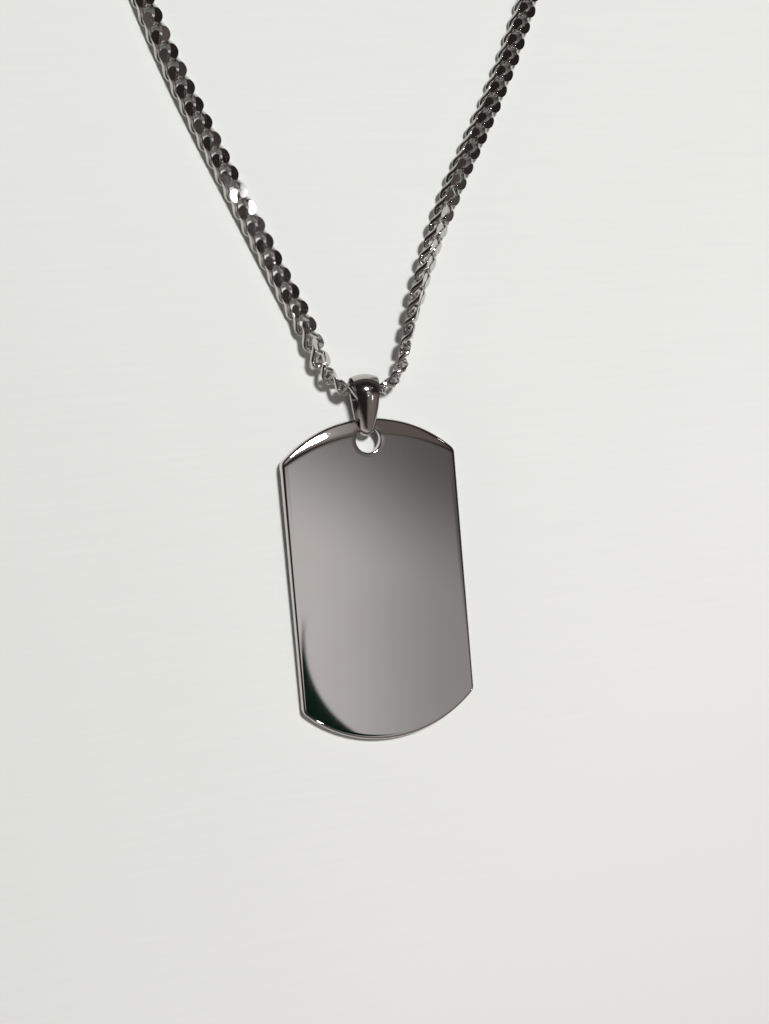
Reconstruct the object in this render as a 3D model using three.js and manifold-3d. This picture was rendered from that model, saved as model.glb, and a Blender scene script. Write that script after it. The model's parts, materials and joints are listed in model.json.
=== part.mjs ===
// A polished dog-tag pendant on a flat-ground curb chain, unclasped and laid face up on a table.
// Millimetres, +Z up. The origin is the middle of the tag's back face, and the chain runs off towards +Y.
import * as THREE from "three";
import { mergeVertices } from "three/addons/utils/BufferGeometryUtils.js";
import Module from "manifold-3d";

const wasm = await Module();
wasm.setup();

// Tag plate
const TAG_WIDTH = 28;
const TAG_LENGTH = 50;
const TAG_THICKNESS = 1.8;
const TAG_END_RISE = 5.8;
const TAG_CORNER_RADIUS = 1.4;
const TAG_EDGE_ROUND = 0.5;
const HOLE_DIAMETER = 3.9;
const HOLE_RIM = 1.4;

// Bail, a tapered strip bent into a closed loop
const BAIL_LEAF = 0.65;
const BAIL_LENGTH = 9.6;
const BAIL_TOP_WIDTH = 4.3;
const BAIL_FOOT_WIDTH = 2.1;
const BAIL_EDGE_ROUND = 0.2;
const BAIL_WEB_ROOM = 0.2;
const BAIL_CHAIN_ROOM = 0.6;

// Curb chain link, a twisted wire oval ground flat on both faces
const LINK_PITCH = 2.8;
const WIRE_DIAMETER = 0.96;
const LINK_WIDTH = 3.25;
const LINK_THICKNESS = 1.55;
const LINK_TWIST = 0.82;
const LINK_GAP = 0.2;
const FUSED_BITE = 0.45;
const LINKS_IN_RUN = 3;

// Lay of the two strands: headings are turned from +X towards +Y
const CENTRE_X = 1;
const CENTRE_HEADING = 5.5;
const SHARPEST_BEND = 24;
const RING_RADIUS = 1.6;
const END_RING_RADIUS = 2.3;
const LEFT = {
  singles: 16,
  runs: 10,
  start: 98,
  straight: 113,
  end: 92,
  layLinks: 7,
  endRoll: 12,
  ringRadius: RING_RADIUS,
};
const RIGHT = {
  singles: 15,
  runs: 10,
  start: 76,
  straight: 59,
  end: 84,
  layLinks: 15,
  endRoll: 20,
  ringRadius: END_RING_RADIUS,
};
const SETTLE_LINKS = 12;

// End rings and lobster clasp
const RING_WIRE = 0.7;
const CLASP_THICKNESS = 2.6;
const CLASP_EYE_THICKNESS = 0.8;
const CLASP_EYE_OUTER = 1.95;
const CLASP_EYE_HOLE = 1.3;
const CLASP_RING_ROOM = 0.55;
const CLASP_REACH = 8.2;
const CLASP_HOOK_OUTER = 3;
const CLASP_HOOK_INNER = 1.75;
const CLASP_NOSE_ANGLE = 10;
const GATE_REACH = 3.6;
const CLASP_CHEEK_ANGLE = 118;
const CLASP_PIVOT_ANGLE = 150;
const CLASP_SLOT = 1.5;
const CLASP_PLAY = 0.15;
const CLASP_TONGUE = 1;
const PIN_DIAMETER = 0.8;
const PIN_PLAY = 0.05;
const LEVER_BOSS = 0.85;
const LEVER_TAB = 1.1;
const LEVER_TAB_ANGLES = [126, 146];
const SPRING_LEAF = 0.2;

const RADIANS = Math.PI / 180;
const CURVE_SEGMENTS = 7;
const TAG_END_STEPS = 18;
const TAG_CORNER_STEPS = 3;
const HOLE_STEPS = 20;
const SINGLE_FACETS = { steps: 16, sides: 6 };
const RUN_FACETS = { steps: 8, sides: 4 };
const RING_FACETS = { steps: 16, sides: 6 };

const steel = new THREE.MeshStandardMaterial({ color: 0xb9b6b4, roughness: 0.12, metalness: 1 });
const chainSteel = new THREE.MeshStandardMaterial({ color: 0xc4c3c1, roughness: 0.16, metalness: 1 });
const springSteel = new THREE.MeshStandardMaterial({ color: 0x8f8f90, roughness: 0.3, metalness: 1 });

const linkRadius = WIRE_DIAMETER / 2;
const linkHalfWidth = LINK_WIDTH / 2;
const linkHalfThickness = LINK_THICKNESS / 2;
const ringTube = RING_WIRE / 2;

// The web of metal between the hole and the tag's edge, which the bail's foot goes round.
const webHalf = HOLE_RIM / 2;
const webReach = TAG_LENGTH / 2 - webHalf;
const footInner = Math.hypot(webHalf, TAG_THICKNESS / 2) + BAIL_WEB_ROOM;
const footOuter = footInner + BAIL_LEAF;
const crownInner = linkHalfWidth + BAIL_CHAIN_ROOM;
const crownOuter = crownInner + BAIL_LEAF;
const bailCentres = BAIL_LENGTH - footOuter - crownOuter;

// The tag's far end rests on the table, and the bail's back leaf lifts the end with the hole.
const tagTilt = Math.asin((footOuter - TAG_THICKNESS / 2) / (webReach + TAG_LENGTH / 2));
const tableZ = -(TAG_LENGTH / 2) * Math.sin(tagTilt);
const bailLean = Math.asin((crownOuter - footOuter) / bailCentres);

const part = new THREE.Group();

function cleaned(geometry) {
  const bare = new THREE.BufferGeometry();
  bare.setAttribute("position", geometry.getAttribute("position").clone());
  if (geometry.index) bare.setIndex(geometry.index.clone());
  return mergeVertices(bare, 1e-4);
}

function toSolid(geometry) {
  const merged = cleaned(geometry);
  return new wasm.Manifold(
    new wasm.Mesh({
      numProp: 3,
      vertProperties: new Float32Array(merged.getAttribute("position").array),
      triVerts: new Uint32Array(merged.index.array),
    }),
  );
}

function toGeometry(solid) {
  const mesh = solid.getMesh();
  const geometry = new THREE.BufferGeometry();
  geometry.setAttribute("position", new THREE.BufferAttribute(Float32Array.from(mesh.vertProperties), 3));
  geometry.setIndex(new THREE.BufferAttribute(Uint32Array.from(mesh.triVerts), 1));
  return geometry;
}

function addMesh(parent, name, geometry, material) {
  const mesh = new THREE.Mesh(geometry, material);
  mesh.name = name;
  parent.add(mesh);
  return mesh;
}

// A plate of the given outline, centred on z = 0.
function plate(outline, thickness) {
  const geometry = new THREE.ExtrudeGeometry(outline, {
    depth: thickness,
    bevelEnabled: false,
    curveSegments: CURVE_SEGMENTS,
  });
  return geometry.translate(0, 0, -thickness / 2);
}

function disc(x, y, radius) {
  const outline = new THREE.Shape();
  outline.absarc(x, y, radius, 0, 2 * Math.PI);
  return outline;
}

// A plate with all its edges rounded, from z = 0 up.
function roundedPlate(outline, thickness, edge) {
  const geometry = new THREE.ExtrudeGeometry(outline, {
    depth: thickness - 2 * edge,
    bevelEnabled: true,
    bevelThickness: edge,
    bevelSize: edge,
    bevelOffset: -edge,
    bevelSegments: 2,
    curveSegments: CURVE_SEGMENTS,
  });
  return geometry.translate(0, 0, edge);
}

function arcPoints(x, y, radius, from, to, steps) {
  return new THREE.EllipseCurve(x, y, radius, radius, from, to, to < from).getPoints(steps);
}

// Straight sides, shallow round ends and small corner rounds.
function tagOutline() {
  const half = TAG_WIDTH / 2;
  const endRadius = (half ** 2 + TAG_END_RISE ** 2) / (2 * TAG_END_RISE);
  const endCentre = TAG_LENGTH / 2 - endRadius;
  const inset = half - TAG_CORNER_RADIUS;
  const cornerY = endCentre + Math.sqrt((endRadius - TAG_CORNER_RADIUS) ** 2 - inset ** 2);
  const meet = Math.atan2(cornerY - endCentre, inset);
  const cornerEnd = arcPoints(inset, cornerY, TAG_CORNER_RADIUS, 0, meet, TAG_CORNER_STEPS);
  const roundEnd = arcPoints(0, endCentre, endRadius, meet, Math.PI - meet, TAG_END_STEPS);
  const farCorner = arcPoints(-inset, cornerY, TAG_CORNER_RADIUS, Math.PI - meet, Math.PI, TAG_CORNER_STEPS);
  const top = [...cornerEnd, ...roundEnd.slice(1, -1), ...farCorner];
  const bottom = top.map((point) => new THREE.Vector2(-point.x, -point.y));
  return new THREE.Shape([...top, ...bottom]);
}

function addTag() {
  const outline = tagOutline();
  const holeRadius = HOLE_DIAMETER / 2;
  const holeY = TAG_LENGTH / 2 - HOLE_RIM - holeRadius;
  const rim = arcPoints(0, holeY, holeRadius, 2 * Math.PI, 0, HOLE_STEPS).slice(1);
  outline.holes.push(new THREE.Path(rim));
  const seat = new THREE.Group();
  seat.rotation.x = tagTilt;
  part.add(seat);
  addMesh(seat, "tag_plate", roundedPlate(outline, TAG_THICKNESS, TAG_EDGE_ROUND), steel);
  return seat;
}

// The belt round two circles on the X axis: the foot circle at 0 and the crown circle at bailCentres.
function beltInto(path, footRadius, crownRadius, clockwise) {
  const lean = Math.acos((footRadius - crownRadius) / bailCentres);
  if (clockwise) {
    path.absarc(0, 0, footRadius, -lean, lean, true);
    path.absarc(bailCentres, 0, crownRadius, lean, -lean, true);
  } else {
    path.absarc(bailCentres, 0, crownRadius, -lean, lean, false);
    path.absarc(0, 0, footRadius, lean, 2 * Math.PI - lean, false);
  }
  path.closePath();
  return path;
}

// The strip's profile is extruded across its width, then narrowed in a straight taper towards the foot.
function bailGeometry() {
  const profile = beltInto(new THREE.Shape(), footOuter, crownOuter, false);
  profile.holes.push(beltInto(new THREE.Path(), footInner, crownInner, true));
  const geometry = roundedPlate(profile, BAIL_TOP_WIDTH, BAIL_EDGE_ROUND);
  geometry.translate(0, 0, -BAIL_TOP_WIDTH / 2);
  const place = geometry.getAttribute("position");
  for (let i = 0; i < place.count; i++) {
    const along = (place.getX(i) + footOuter) / BAIL_LENGTH;
    const width = BAIL_FOOT_WIDTH + (BAIL_TOP_WIDTH - BAIL_FOOT_WIDTH) * along;
    place.setZ(i, (place.getZ(i) * width) / BAIL_TOP_WIDTH);
  }
  const standing = new THREE.Matrix4().makeBasis(
    new THREE.Vector3(0, 1, 0),
    new THREE.Vector3(0, 0, 1),
    new THREE.Vector3(1, 0, 0),
  );
  return geometry.applyMatrix4(standing);
}

function addBail(tagSeat) {
  const web = new THREE.Vector3(0, webReach, TAG_THICKNESS / 2).applyEuler(tagSeat.rotation);
  const seat = new THREE.Group();
  seat.position.copy(web);
  seat.rotation.x = bailLean;
  part.add(seat);
  addMesh(seat, "bail", bailGeometry(), steel);
  seat.updateMatrixWorld(true);
  return seat;
}

// Rings of points swept along a closed centre line, each ring a polygon of the given radius.
function closedSweep(facets, radius, centreAt, flatten) {
  const { steps, sides } = facets;
  const points = [];
  const faces = [];
  const ahead = 1e-4;
  for (let i = 0; i < steps; i++) {
    const turn = (2 * Math.PI * i) / steps;
    const centre = centreAt(turn);
    const tangent = centreAt(turn + ahead).sub(centreAt(turn - ahead)).normalize();
    const outward = new THREE.Vector3(Math.cos(turn), Math.sin(turn), 0);
    outward.addScaledVector(tangent, -outward.dot(tangent)).normalize();
    const upward = tangent.clone().cross(outward);
    for (let k = 0; k < sides; k++) {
      const angle = (2 * Math.PI * (k + 0.5)) / sides;
      const point = centre.clone();
      point.addScaledVector(outward, radius * Math.cos(angle));
      point.addScaledVector(upward, radius * Math.sin(angle));
      if (flatten) point.z = THREE.MathUtils.clamp(point.z, -flatten, flatten);
      points.push(point.x, point.y, point.z);
      const next = ((i + 1) % steps) * sides;
      const side = (k + 1) % sides;
      const corner = [i * sides + k, i * sides + side, next + side, next + k];
      faces.push(corner[0], corner[1], corner[2], corner[0], corner[2], corner[3]);
    }
  }
  const geometry = new THREE.BufferGeometry();
  geometry.setAttribute("position", new THREE.Float32BufferAttribute(points, 3));
  geometry.setIndex(faces);
  return geometry;
}

// One link: an oval whose two ends are turned opposite ways, so that it takes its neighbours square on.
function linkGeometry(facets, gapBehind, gapAhead) {
  const halfSpan = linkHalfWidth - linkRadius;
  const centreAt = (turn) => {
    const across = Math.cos(turn);
    const halfLength = (LINK_PITCH + WIRE_DIAMETER + (across < 0 ? gapBehind : gapAhead)) / 2;
    return new THREE.Vector3(
      halfLength * across,
      halfSpan * Math.sin(turn),
      LINK_TWIST * Math.sin(2 * turn),
    );
  };
  return closedSweep(facets, linkRadius, centreAt, linkHalfThickness);
}

// A run of links that bear on one another as one stiff piece, free at its two ends.
function runGeometry() {
  const links = [];
  for (let i = 0; i < LINKS_IN_RUN; i++) {
    const behind = i === 0 ? LINK_GAP : -FUSED_BITE;
    const ahead = i === LINKS_IN_RUN - 1 ? LINK_GAP : -FUSED_BITE;
    links.push(toSolid(linkGeometry(RUN_FACETS, behind, ahead).translate(i * LINK_PITCH, 0, 0)));
  }
  return toGeometry(links.reduce((run, link) => run.add(link)));
}

function ringGeometry(radius) {
  const centreAt = (turn) => new THREE.Vector3(radius * Math.cos(turn), radius * Math.sin(turn), 0);
  return closedSweep(RING_FACETS, ringTube, centreAt, 0);
}

// A frame at a place, with +X along the heading and rise, then rolled about that direction.
function linkSeat(place, heading, rise, roll) {
  const seat = new THREE.Group();
  const turned = new THREE.Matrix4().makeRotationZ(heading * RADIANS);
  turned.multiply(new THREE.Matrix4().makeRotationY(-rise * RADIANS));
  turned.multiply(new THREE.Matrix4().makeRotationX(roll * RADIANS));
  seat.quaternion.setFromRotationMatrix(turned);
  seat.position.copy(place);
  part.add(seat);
  return seat;
}

function directionOf(seat) {
  return new THREE.Vector3(1, 0, 0).applyQuaternion(seat.quaternion);
}

const singleLink = linkGeometry(SINGLE_FACETS, LINK_GAP, LINK_GAP);
const linkRun = runGeometry();

// A link's height above the table at its middle, resting on its lowest edge at the given roll.
function restHeight(roll) {
  const place = singleLink.getAttribute("position");
  const across = Math.sin(roll * RADIANS);
  const through = Math.cos(roll * RADIANS);
  let lowest = 0;
  for (let i = 0; i < place.count; i++) {
    lowest = Math.min(lowest, place.getY(i) * across + place.getZ(i) * through);
  }
  return -lowest;
}

// How a strand lies at a count of links from the bail: its heading, its roll and its middle's height.
function strandLie(strand, outward, count) {
  const total = strand.singles + strand.runs * LINKS_IN_RUN;
  const laid = THREE.MathUtils.clamp(count / strand.layLinks, 0, 1);
  const beyond = THREE.MathUtils.clamp((count - strand.singles) / (total - strand.singles), 0, 1);
  const settled = THREE.MathUtils.clamp((count - total + SETTLE_LINKS) / SETTLE_LINKS, 0, 1);
  const visible = THREE.MathUtils.lerp(strand.start, strand.straight, laid);
  const target = THREE.MathUtils.lerp(visible, strand.end, beyond);
  const bend = SHARPEST_BEND * count;
  const heading = outward + THREE.MathUtils.clamp(target - outward, -bend, bend);
  const roll = THREE.MathUtils.lerp(90, strand.endRoll, laid) * (1 - beyond);
  const endHeight = strand.ringRadius * Math.SQRT1_2 + ringTube;
  const lying = THREE.MathUtils.lerp(restHeight(roll), endHeight, settled);
  const height = lying + (crownOuter - linkHalfWidth) * (1 - laid);
  return { heading, roll, height };
}

function addStrand(side, strand, centreSeat, outward) {
  let place = centreSeat.position.clone();
  let direction = new THREE.Vector3(1, 0, 0).applyAxisAngle(new THREE.Vector3(0, 0, 1), outward * RADIANS);
  let reach = LINK_PITCH / 2;
  let count = 0;
  let seat = centreSeat;
  for (let i = 0; i < strand.singles + strand.runs; i++) {
    const single = i < strand.singles;
    const links = single ? 1 : LINKS_IN_RUN;
    const { heading, roll } = strandLie(strand, outward, count + 1);
    const middle = count + (links + 1) / 2;
    const climb = strandLie(strand, outward, middle + links / 2).height;
    const fall = strandLie(strand, outward, middle - links / 2).height;
    const rise = Math.asin((climb - fall) / (links * LINK_PITCH)) / RADIANS;
    seat = linkSeat(place, heading, rise, roll);
    seat.position.addScaledVector(direction, reach);
    direction = directionOf(seat);
    seat.position.addScaledVector(direction, LINK_PITCH / 2);
    place = seat.position;
    const number = String(single ? i + 1 : i + 1 - strand.singles).padStart(2, "0");
    const name = single ? `${side}_link_${number}` : `${side}_run_${number}`;
    addMesh(seat, name, single ? singleLink : linkRun, chainSteel);
    reach = (links - 0.5) * LINK_PITCH;
    count += links;
  }
  return seat;
}

// The last link's far end lies half a link past its centre, turned the opposite way to the ring through it.
function addEndRing(name, lastSeat, radius) {
  const lastCentre = (LINKS_IN_RUN - 1) * LINK_PITCH;
  const halfLength = (LINK_PITCH + WIRE_DIAMETER + LINK_GAP) / 2;
  const ringStart = lastCentre + halfLength - linkRadius - LINK_GAP - ringTube;
  const seat = new THREE.Group();
  seat.position.x = ringStart + radius;
  seat.rotation.x = -Math.PI / 4;
  lastSeat.add(seat);
  addMesh(seat, name, ringGeometry(radius), chainSteel);
  return seat.position.x + radius;
}

function hookPoint(angle, radius) {
  return [CLASP_REACH + radius * Math.cos(angle * RADIANS), radius * Math.sin(angle * RADIANS)];
}

// A slice of the hook's ring between two angles.
function hookSlice(from, to, inner, outer) {
  const outline = new THREE.Shape();
  outline.absarc(CLASP_REACH, 0, outer, from * RADIANS, to * RADIANS, false);
  outline.absarc(CLASP_REACH, 0, inner, to * RADIANS, from * RADIANS, true);
  outline.closePath();
  return outline;
}

const hookMiddle = (CLASP_HOOK_OUTER + CLASP_HOOK_INNER) / 2;
const pivot = hookPoint(CLASP_PIVOT_ANGLE, hookMiddle);

// The claw: a thin eye, a widening neck and a hook, slotted for the lever and open where the gate sweeps.
function claspBody() {
  const neck = new THREE.Shape();
  const neckEnd = CLASP_REACH - CLASP_HOOK_INNER;
  neck.moveTo(CLASP_EYE_OUTER + CLASP_PLAY, -CLASP_EYE_HOLE);
  neck.lineTo(neckEnd, -CLASP_HOOK_INNER - CLASP_PLAY);
  neck.lineTo(CLASP_REACH, -CLASP_HOOK_INNER - CLASP_PLAY);
  neck.lineTo(...hookPoint(CLASP_CHEEK_ANGLE, CLASP_HOOK_OUTER));
  neck.lineTo(...hookPoint(CLASP_PIVOT_ANGLE, CLASP_HOOK_OUTER));
  neck.lineTo(CLASP_EYE_OUTER + CLASP_PLAY, CLASP_EYE_HOLE);
  neck.closePath();
  const tail = disc(0, 0, CLASP_EYE_OUTER);
  const tongue = new THREE.Shape();
  tongue.moveTo(0, -CLASP_EYE_OUTER);
  tongue.lineTo(CLASP_EYE_OUTER + CLASP_TONGUE, -CLASP_EYE_HOLE);
  tongue.lineTo(CLASP_EYE_OUTER + CLASP_TONGUE, CLASP_EYE_HOLE);
  tongue.lineTo(0, CLASP_EYE_OUTER);
  tongue.closePath();
  const slot = new THREE.BoxGeometry(4 * LEVER_BOSS, 4 * CLASP_HOOK_OUTER, CLASP_SLOT);
  slot.translate(pivot[0] - LEVER_BOSS / 2, pivot[1] - CLASP_HOOK_INNER + 2 * CLASP_HOOK_OUTER, 0);
  const deep = 2 * CLASP_THICKNESS;
  const mouth = hookSlice(CLASP_NOSE_ANGLE, CLASP_CHEEK_ANGLE, CLASP_PLAY, CLASP_HOOK_OUTER + CLASP_PLAY);
  const sweep = disc(pivot[0], pivot[1], GATE_REACH + CLASP_PLAY);
  return toGeometry(
    toSolid(plate(neck, CLASP_THICKNESS))
      .add(toSolid(plate(disc(CLASP_REACH, 0, CLASP_HOOK_OUTER), CLASP_THICKNESS)))
      .add(toSolid(plate(tail, CLASP_EYE_THICKNESS)))
      .add(toSolid(plate(tongue, CLASP_EYE_THICKNESS)))
      .subtract(toSolid(plate(disc(CLASP_REACH, 0, CLASP_HOOK_INNER), deep)))
      .subtract(toSolid(plate(mouth, deep)).intersect(toSolid(plate(sweep, deep))))
      .subtract(toSolid(slot))
      .subtract(toSolid(plate(disc(pivot[0], pivot[1], PIN_DIAMETER / 2 + PIN_PLAY), deep)))
      .subtract(toSolid(plate(disc(0, 0, CLASP_EYE_HOLE), deep))),
  );
}

// The gate that closes the mouth, with its pivot boss and the tab that a thumb pulls back.
function claspLever() {
  const thickness = CLASP_SLOT - 2 * CLASP_PLAY;
  const gateOuter = CLASP_HOOK_OUTER - CLASP_PLAY;
  const gateInner = CLASP_HOOK_INNER + CLASP_PLAY;
  const gate = hookSlice(CLASP_NOSE_ANGLE, CLASP_PIVOT_ANGLE, gateInner, gateOuter);
  const tab = hookSlice(...LEVER_TAB_ANGLES, gateInner, gateOuter + LEVER_TAB);
  return toGeometry(
    toSolid(plate(gate, thickness))
      .intersect(toSolid(plate(disc(pivot[0], pivot[1], GATE_REACH), thickness)))
      .add(toSolid(plate(tab, thickness)))
      .add(toSolid(plate(disc(pivot[0], pivot[1], LEVER_BOSS), thickness)))
      .subtract(toSolid(plate(disc(pivot[0], pivot[1], PIN_DIAMETER / 2 + PIN_PLAY), 2 * thickness))),
  );
}

// A bent leaf that lies on the slot's floor and stands up behind the lever's boss.
function claspSpring() {
  const floor = pivot[1] - CLASP_HOOK_INNER + CLASP_PLAY;
  const back = pivot[0] - 2 * LEVER_BOSS;
  const leaf = new THREE.Shape();
  leaf.moveTo(pivot[0], floor);
  leaf.lineTo(pivot[0], floor + SPRING_LEAF);
  leaf.lineTo(back + SPRING_LEAF, floor + SPRING_LEAF);
  leaf.lineTo(back + SPRING_LEAF, pivot[1]);
  leaf.lineTo(back, pivot[1]);
  leaf.lineTo(back, floor);
  leaf.closePath();
  return plate(leaf, CLASP_SLOT - 4 * CLASP_PLAY);
}

function addClasp(lastSeat, ringEnd) {
  const seat = new THREE.Group();
  seat.position.x = ringEnd + CLASP_EYE_HOLE - ringTube - CLASP_RING_ROOM;
  lastSeat.add(seat);
  addMesh(seat, "clasp_body", claspBody(), chainSteel);
  addMesh(seat, "clasp_lever", claspLever(), chainSteel);
  const pin = new THREE.CylinderGeometry(PIN_DIAMETER / 2, PIN_DIAMETER / 2, CLASP_THICKNESS, CURVE_SEGMENTS);
  pin.rotateX(Math.PI / 2).translate(pivot[0], pivot[1], 0);
  addMesh(seat, "clasp_pin", pin, steel);
  addMesh(seat, "clasp_spring", claspSpring(), springSteel);
}

const tagSeat = addTag();
const bailSeat = addBail(tagSeat);

// The chain's middle link stands on edge in the crown of the bail.
const crown = bailSeat.localToWorld(new THREE.Vector3(0, bailCentres, 0));
const centreSeat = linkSeat(new THREE.Vector3(CENTRE_X, crown.y, crown.z), CENTRE_HEADING, 0, 90);
addMesh(centreSeat, "centre_link", singleLink, chainSteel);

const leftEnd = addStrand("left", LEFT, centreSeat, CENTRE_HEADING + 180);
const rightEnd = addStrand("right", RIGHT, centreSeat, CENTRE_HEADING);
const claspStart = addEndRing("clasp_ring", leftEnd, RING_RADIUS);
addEndRing("end_ring", rightEnd, END_RING_RADIUS);
addClasp(leftEnd, claspStart);

export default part;
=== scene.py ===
"""A polished dog tag on a flat-ground curb chain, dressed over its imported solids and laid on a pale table."""

import json
import math

import bmesh
import bpy
from mathutils import Matrix, Vector
from mathutils.geometry import delaunay_2d_cdt


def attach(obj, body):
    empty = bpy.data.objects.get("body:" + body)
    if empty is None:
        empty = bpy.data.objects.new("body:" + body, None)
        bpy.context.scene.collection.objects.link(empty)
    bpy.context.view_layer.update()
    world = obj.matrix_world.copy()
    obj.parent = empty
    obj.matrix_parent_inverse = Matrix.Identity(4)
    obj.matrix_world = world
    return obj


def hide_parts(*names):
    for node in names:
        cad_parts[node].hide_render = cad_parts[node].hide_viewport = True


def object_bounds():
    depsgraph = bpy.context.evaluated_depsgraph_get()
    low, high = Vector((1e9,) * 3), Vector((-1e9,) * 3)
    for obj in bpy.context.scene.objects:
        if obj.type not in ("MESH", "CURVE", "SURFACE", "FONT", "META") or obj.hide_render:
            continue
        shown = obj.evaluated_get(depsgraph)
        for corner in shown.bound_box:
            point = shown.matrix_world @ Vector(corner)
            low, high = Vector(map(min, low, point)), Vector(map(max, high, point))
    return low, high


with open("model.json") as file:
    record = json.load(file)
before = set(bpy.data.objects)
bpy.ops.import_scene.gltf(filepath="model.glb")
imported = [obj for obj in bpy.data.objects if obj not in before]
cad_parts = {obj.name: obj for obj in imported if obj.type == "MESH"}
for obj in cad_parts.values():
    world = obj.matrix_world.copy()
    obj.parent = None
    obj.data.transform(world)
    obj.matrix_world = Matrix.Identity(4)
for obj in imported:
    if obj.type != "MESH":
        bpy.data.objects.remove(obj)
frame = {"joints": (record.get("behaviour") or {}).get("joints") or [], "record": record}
cad_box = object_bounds()

MM = 0.001
UP = Vector((0, 0, 1))
ACROSS = Vector((1, 0, 0))

# Fineness of the meshes, with angles in degrees unless they are turned to radians here
CREASE = math.radians(30)
SAME_LEVEL = 1e-7
SAME_PLACE = 1e-9
SHORT_TURN = 1e-3
ARC_STEP = 6
SMALL_ARC_STEP = 15
EDGE_STEPS = 6
ROLL_OFF_STEPS = 8
SHARPEST_MITRE = 0.5
LINK_FACETS = (48, 18)
RING_FACETS = (64, 16)

# Tag plate
TAG_WIDTH = 28 * MM
TAG_LENGTH = 50 * MM
TAG_THICKNESS = 1.8 * MM
TAG_END_RISE = 5.8 * MM
TAG_CORNER_RADIUS = 1.4 * MM
TAG_EDGE_ROUND = 0.32 * MM
TAG_ROLL_OFF = 0.012 * MM
TAG_ROLL_REACH = 0.85 * MM
HOLE_RADIUS = 1.95 * MM
HOLE_RIM = 1.4 * MM
HOLE_EDGE_ROUND = 0.2 * MM
POLISHED_END_DEPTH = 2.9 * MM
POLISHED_END_RADIUS = 25.4 * MM
POLISHED_END_SLOPE = 0.19
POLISHED_END_START = 1.4 * MM
HOLE_FALL_REACH = 0.8 * MM
HOLE_FALL_SLOPE = 0.07
FACE_STEP = 0.25 * MM
WORN_END_ANGLES = (30, 150)
WORN_END_STEP = 0.8
TAG_END_STEP = 1
HOLE_STEP = 5
HOLE_FALL_RINGS = 4
POLISHING_MARKS = 0.0008 * MM

# Bail
BAIL_LEAF = 0.65 * MM
BAIL_FOOT_INNER = 1.3402 * MM
BAIL_CROWN_INNER = 2.225 * MM
BAIL_TOP_WIDTH = 4.3 * MM
BAIL_FOOT_WIDTH = 2.1 * MM
BAIL_CROWNING = 0.5 * MM
BAIL_BOW = 20 * MM
BAIL_EDGE_SHARE = 0.97
BAIL_INSIDE_SHARE = 0.88
BAIL_OUTSIDE_STEPS = 24
BAIL_INSIDE_STEPS = 8
BAIL_TURN_STEPS = 40
BAIL_FRONT_STEPS = 20
BAIL_BACK_STEPS = 16

# Chain
LINK_PITCH = 2.8 * MM
WIRE_RADIUS = 0.48 * MM
LINK_WIDTH = 3.25 * MM
LINK_THICKNESS = 1.55 * MM
LINK_TWIST = 0.82 * MM
LINK_GAP = 0.2 * MM
LINK_EDGE = 0.03 * MM
LINK_SPREAD = 0.6
LINKS_AT_BAIL = 3
SLIM_WIRE_RADIUS = 0.41 * MM
FLAT_TILTS = (1.3, -1.6, 0.2, -0.7, 1.8)
LINKS_IN_RUN = 3
RING_WIRE_RADIUS = 0.35 * MM
RING_RADIUS = 1.6 * MM
END_RING_RADIUS = 2.3 * MM

# Clasp, from the middle of its eye
CLASP_THICKNESS = 2.6 * MM
CLASP_SLOT = 1.5 * MM
CLASP_PLAY = 0.15 * MM
CLASP_EDGE = 0.3 * MM
EYE_THICKNESS = 0.8 * MM
EYE_OUTER = 1.95 * MM
EYE_HOLE = 1.3 * MM
EYE_EDGE = 0.24 * MM
EYE_TONGUE = 1 * MM
TONGUE_HALF_THICKNESS = 0.384 * MM
TONGUE_ANGLE = 70
HOOK_REACH = 8.2 * MM
HOOK_OUTER = 3 * MM
HOOK_INNER = 1.75 * MM
HOOK_NECK_ANGLE = 217
CHEEK_ANGLE = 118
PIN_ANGLE = 150
PIN_RADIUS = 0.4 * MM
PIN_EDGE = 0.16 * MM
SLOT_BEHIND_PIN = 2.125 * MM
GATE_REACH = 3.6 * MM
LEVER_BOSS = 0.85 * MM
LEVER_TAB = 1.1 * MM
LEVER_TAB_ANGLES = (126, 146)
SPRING_LEAF = 0.2 * MM
SPRING_BEND = 0.25 * MM
SPRING_EDGE = 0.04 * MM
SPRING_BEHIND_PIN = 1.7 * MM

# Camera, fitted to the corners of the tag's face: turned from looking straight down on it
IMAGE_WIDTH = 769
IMAGE_HEIGHT = 1024
FOCAL_PIXELS = 1300
CAMERA_ROLL = -5.61
CAMERA_TILT = 1.76
CAMERA_PAN = -17.19
CAMERA_OFFSET = Vector((-0.93, 10.41, 202.42)) * MM
SENSOR = 36
NEAREST_SEEN = 0.01

joints = {joint["name"]: joint for joint in frame["joints"]}
mounts = {mount["name"]: mount for mount in frame["record"]["mounts"]}
bodies = {node: body for body, nodes in frame["record"]["behaviour"]["bodies"].items() for node in nodes}


def pivot(name):
    return Vector(joints[name]["pos_m"])


def axis(name):
    return Vector(joints[name]["axis"]).normalized()


def placed(x, y, z, origin):
    """A frame with the given axes at an origin."""
    turn = Matrix((x, y, z)).transposed().to_4x4()
    return Matrix.Translation(origin) @ turn


# Meshes


def mesh_from_bmesh(name, bm):
    """Smooth shading, apart from creases and the rims of flat faces with many corners."""
    bmesh.ops.recalc_face_normals(bm, faces=bm.faces)
    for face in bm.faces:
        face.smooth = True
    for edge in bm.edges:
        flat = any(len(face.verts) > 4 for face in edge.link_faces)
        if flat or edge.calc_face_angle(0) > CREASE:
            edge.smooth = False
    mesh = bpy.data.meshes.new(name)
    bm.to_mesh(mesh)
    bm.free()
    return mesh


def add_tube(bm, rings):
    """Faces between rings of points on a closed path."""
    rows = [[bm.verts.new(point) for point in ring] for ring in rings]
    for i, row in enumerate(rows):
        for k in range(len(row)):
            bm.faces.new((rows[i - 1][k - 1], rows[i - 1][k], row[k], row[k - 1]))


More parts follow.
